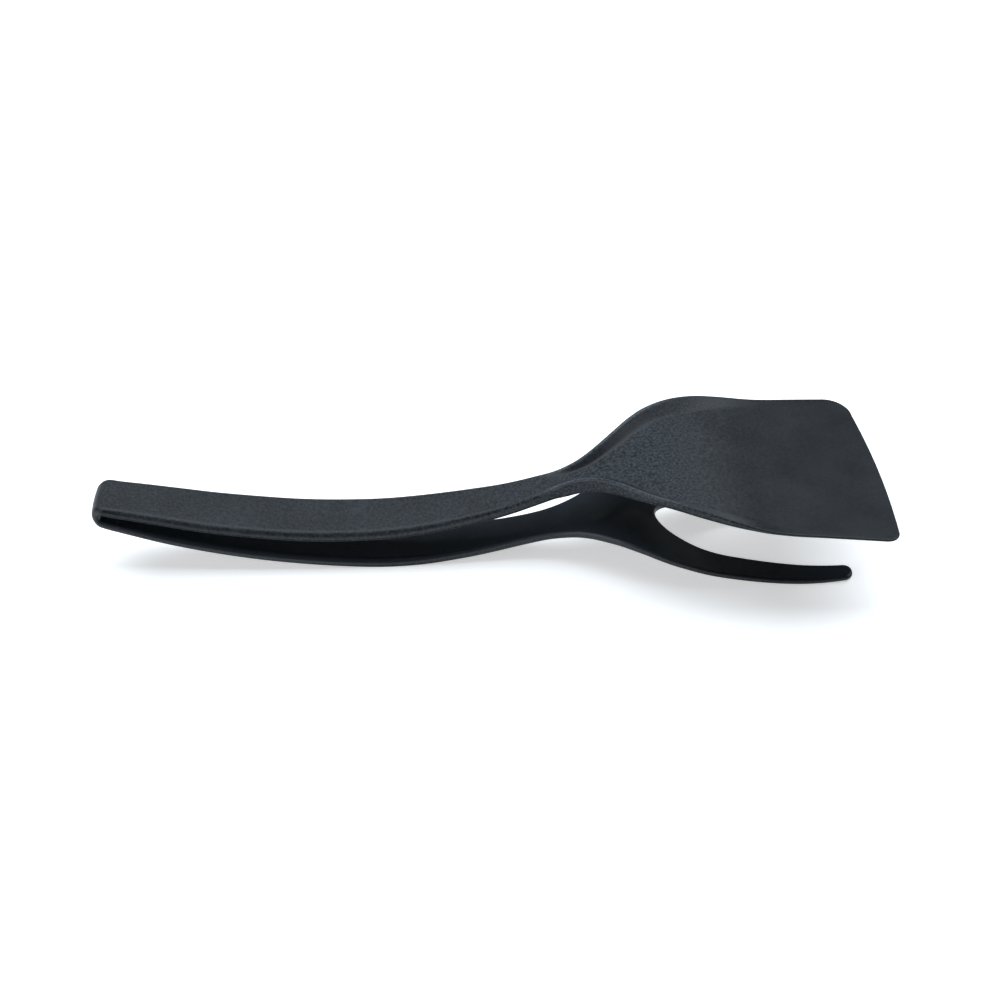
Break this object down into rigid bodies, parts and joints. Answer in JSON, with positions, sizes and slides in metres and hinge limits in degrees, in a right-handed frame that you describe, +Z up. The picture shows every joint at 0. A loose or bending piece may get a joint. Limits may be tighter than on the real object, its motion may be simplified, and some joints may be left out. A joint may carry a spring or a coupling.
{
  "type": "spatula tongs",
  "caption": "One-piece sprung nylon tongs: a folded strip handle whose upper arm ends in a wide slanted spatula blade and whose lower arm ends in a two-tined fork.",
  "frame": {"origin": "bottom centre of the bounding box, on the table that the tongs lie on", "axes": "+X from the spring bend to the blade, +Y to the left seen from the bend, +Z up from the fork to the blade"},
  "size_m": [0.2688, 0.0778, 0.0422],
  "materials": {
    "nylon": "charcoal glass-filled nylon, fine spark-grain satin outside, smoother inside the arms"
  },
  "bodies": {
    "fork_end": {"lower_grip": "nylon", "fork_palm": "nylon", "left_tine": "nylon", "right_tine": "nylon"},
    "heel": {"lower_spring_arm": "nylon", "spring_bend": "nylon"},
    "upper_arm": {"upper_spring_arm": "nylon"},
    "blade_end": {"upper_grip": "nylon", "blade_shoulder": "nylon", "spatula_blade": "nylon"}
  },
  "joints": [
    {"name": "lower_bow", "type": "hinge", "parent": "fork_end", "child": "heel", "pos_m": [-0.0649, 0, 0.0041], "axis": [0, 1, 0], "range_deg": [-1.3, 2.05], "stiffness_Nm_per_rad": 4},
    {"name": "squeeze", "type": "hinge", "parent": "heel", "child": "upper_arm", "pos_m": [-0.1303, 0, 0.0225], "axis": [0, 1, 0], "range_deg": [-1, 1.6], "stiffness_Nm_per_rad": 12},
    {"name": "upper_bow", "type": "hinge", "parent": "upper_arm", "child": "blade_end", "pos_m": [-0.0649, 0, 0.0141], "axis": [0, 1, 0], "range_deg": [-1.3, 2.05], "stiffness_Nm_per_rad": 4}
  ],
  "couplings": [
    {"joint": "lower_bow", "follows": "squeeze", "ratio": 1.25},
    {"joint": "upper_bow", "follows": "squeeze", "ratio": 1.25}
  ]
}
